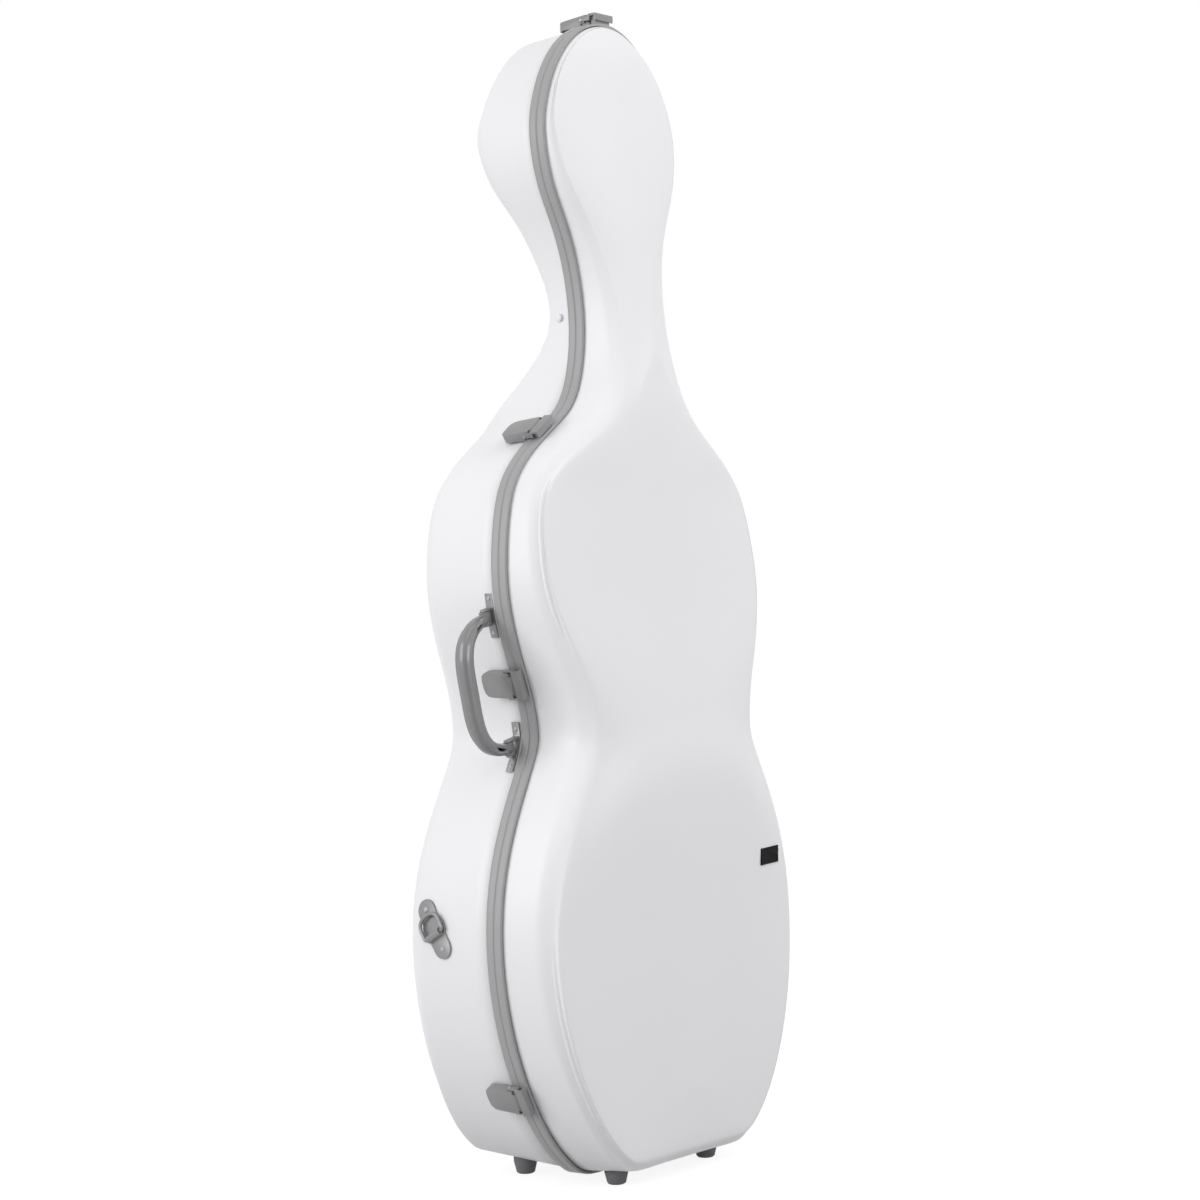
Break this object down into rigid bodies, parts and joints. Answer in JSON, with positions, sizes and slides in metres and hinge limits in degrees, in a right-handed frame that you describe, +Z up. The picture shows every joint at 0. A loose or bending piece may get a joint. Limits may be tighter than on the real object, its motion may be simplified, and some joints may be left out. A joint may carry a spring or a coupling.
{
  "type": "cello hard case",
  "caption": "Moulded white hard case for a full-size cello, standing on rubber feet, with hinged lid, over-centre latches, carrying handle, strap rings and padded interior",
  "frame": {"origin": "middle of the outer box at floor level, on the plane of the feet", "axes": "+Z up along the case toward the head; -Y out of the lid; +Y out of the back; -X is the side with latches and handle, +X the hinge side"},
  "size_m": [0.5265, 0.2736, 1.3584],
  "materials": {
    "white_shell": "smooth white gloss lacquer on a moulded shell",
    "grey_rim": "satin mid-grey moulding",
    "grey_latch": "satin mid-grey moulded plastic",
    "grey_metal": "satin nickel-plated steel",
    "grey_rubber": "matte mid-grey rubber",
    "black_rubber": "matte black rubber seal",
    "black_plate": "bare black plate",
    "black_webbing": "woven webbing",
    "black_plastic": "satin black plastic",
    "grey_velvet": "short-pile velvet over foam"
  },
  "bodies": {
    "base": {"base_shell": "white_shell", "base_lining": "grey_velvet", "base_rim": "grey_rim", "rim_seal": "black_rubber", "foot_rear_left": "grey_rubber", "foot_rear_right": "grey_rubber", "hinge_lower_base_leaf": "grey_metal", "hinge_lower_pin": "grey_metal", "hinge_upper_base_leaf": "grey_metal", "hinge_upper_pin": "grey_metal", "latch_bottom_plate": "grey_latch", "latch_waist_plate": "grey_latch", "latch_shoulder_plate": "grey_latch", "latch_top_plate": "grey_latch", "handle_bracket_lower": "grey_metal", "handle_bracket_upper": "grey_metal", "strap_plate_left": "grey_metal", "strap_plate_right": "grey_metal", "strap_plate_back": "grey_metal", "neck_rivet_left": "white_shell", "neck_rivet_right": "white_shell", "neck_cradle": "grey_velvet", "neck_strap": "black_webbing", "chest_pad_left": "grey_velvet", "hip_pad_left": "grey_velvet", "chest_pad_right": "grey_velvet", "hip_pad_right": "grey_velvet", "endpin_block": "grey_velvet"},
    "lid": {"lid_shell": "white_shell", "lid_lining": "grey_velvet", "lid_rim": "grey_rim", "foot_front_left": "grey_rubber", "foot_front_right": "grey_rubber", "hinge_lower_lid_leaf": "grey_metal", "hinge_upper_lid_leaf": "grey_metal", "latch_bottom_keeper": "grey_latch", "latch_waist_keeper": "grey_latch", "latch_shoulder_keeper": "grey_latch", "latch_top_keeper": "grey_latch", "nameplate": "black_plate", "bow_sleeve_left": "grey_velvet", "bow_clip_base_left": "black_plastic", "bow_sleeve_right": "grey_velvet", "bow_clip_base_right": "black_plastic", "accessory_pocket": "grey_velvet"},
    "latch_top_lever": {"latch_top_lever": "grey_latch"},
    "latch_top_link": {"latch_top_link": "grey_latch"},
    "latch_shoulder_lever": {"latch_shoulder_lever": "grey_latch"},
    "latch_shoulder_link": {"latch_shoulder_link": "grey_latch"},
    "latch_waist_lever": {"latch_waist_lever": "grey_latch"},
    "latch_waist_link": {"latch_waist_link": "grey_latch"},
    "latch_bottom_lever": {"latch_bottom_lever": "grey_latch"},
    "latch_bottom_link": {"latch_bottom_link": "grey_latch"},
    "handle": {"handle_grip": "grey_latch"},
    "strap_ring_left": {"strap_ring_left": "grey_metal"},
    "strap_ring_right": {"strap_ring_right": "grey_metal"},
    "strap_ring_back": {"strap_ring_back": "grey_metal"},
    "bow_clip_paddle_left": {"bow_clip_paddle_left": "black_plastic"},
    "bow_clip_paddle_right": {"bow_clip_paddle_right": "black_plastic"}
  },
  "joints": [
    {"name": "lid_hinge", "type": "hinge", "parent": "base", "child": "lid", "pos_m": [0.2612, -0.02916, 0.29041], "axis": [-0.0739, 0, 0.9973], "range_deg": [0, 110]},
    {"name": "latch_top_pivot", "type": "hinge", "parent": "base", "child": "latch_top_lever", "pos_m": [0.00751, -0.02416, 1.3541], "axis": [1, 0, 0], "range_deg": [0, 100]},
    {"name": "latch_top_link_pin", "type": "hinge", "parent": "latch_top_lever", "child": "latch_top_link", "pos_m": [0.00751, -0.01816, 1.3525], "axis": [1, 0, 0], "range_deg": [-115, 0]},
    {"name": "latch_shoulder_pivot", "type": "hinge", "parent": "base", "child": "latch_shoulder_lever", "pos_m": [-0.12959, -0.02416, 0.86959], "axis": [0.8107, 0, 0.5854], "range_deg": [0, 100]},
    {"name": "latch_shoulder_link_pin", "type": "hinge", "parent": "latch_shoulder_lever", "child": "latch_shoulder_link", "pos_m": [-0.12865, -0.01816, 0.8683], "axis": [0.8107, 0, 0.5854], "range_deg": [-115, 0]},
    {"name": "latch_waist_pivot", "type": "hinge", "parent": "base", "child": "latch_waist_lever", "pos_m": [-0.18626, -0.02416, 0.57752], "axis": [-0.328, 0, 0.9447], "range_deg": [0, 100]},
    {"name": "latch_waist_link_pin", "type": "hinge", "parent": "latch_waist_lever", "child": "latch_waist_link", "pos_m": [-0.18475, -0.01816, 0.57805], "axis": [-0.328, 0, 0.9447], "range_deg": [-115, 0]},
    {"name": "latch_bottom_pivot", "type": "hinge", "parent": "base", "child": "latch_bottom_lever", "pos_m": [-0.20258, -0.02416, 0.11109], "axis": [-0.4631, 0, 0.8863], "range_deg": [0, 100]},
    {"name": "latch_bottom_link_pin", "type": "hinge", "parent": "latch_bottom_lever", "child": "latch_bottom_link", "pos_m": [-0.20116, -0.01816, 0.11183], "axis": [-0.4631, 0, 0.8863], "range_deg": [-115, 0]},
    {"name": "handle_swing", "type": "hinge", "parent": "base", "child": "handle", "pos_m": [-0.1939, -0.00816, 0.57947], "axis": [0.2204, 0, -0.9754], "range_deg": [-40, 70]},
    {"name": "strap_ring_left_swing", "type": "hinge", "parent": "base", "child": "strap_ring_left", "pos_m": [-0.23737, 0.06115, 0.29727], "axis": [-0.0337, -0.8478, 0.5293], "range_deg": [0, 165]},
    {"name": "strap_ring_right_swing", "type": "hinge", "parent": "base", "child": "strap_ring_right", "pos_m": [0.25239, 0.06115, 0.29727], "axis": [-0.0337, 0.8478, -0.5293], "range_deg": [0, 165]},
    {"name": "strap_ring_back_swing", "type": "hinge", "parent": "base", "child": "strap_ring_back", "pos_m": [0.00751, 0.1269, 0.806], "axis": [-1, 0, 0], "range_deg": [0, 165]},
    {"name": "bow_clip_left_turn", "type": "hinge", "parent": "lid", "child": "bow_clip_paddle_left", "pos_m": [-0.08449, -0.08031, 0.786], "axis": [0, 1, 0], "range_deg": [-90, 90]},
    {"name": "bow_clip_right_turn", "type": "hinge", "parent": "lid", "child": "bow_clip_paddle_right", "pos_m": [0.09951, -0.08031, 0.786], "axis": [0, 1, 0], "range_deg": [-90, 90]}
  ],
  "couplings": [
    {"joint": "latch_top_link_pin", "follows": "latch_top_pivot", "ratio": -1},
    {"joint": "latch_shoulder_link_pin", "follows": "latch_shoulder_pivot", "ratio": -1},
    {"joint": "latch_waist_link_pin", "follows": "latch_waist_pivot", "ratio": -1},
    {"joint": "latch_bottom_link_pin", "follows": "latch_bottom_pivot", "ratio": -1}
  ]
}
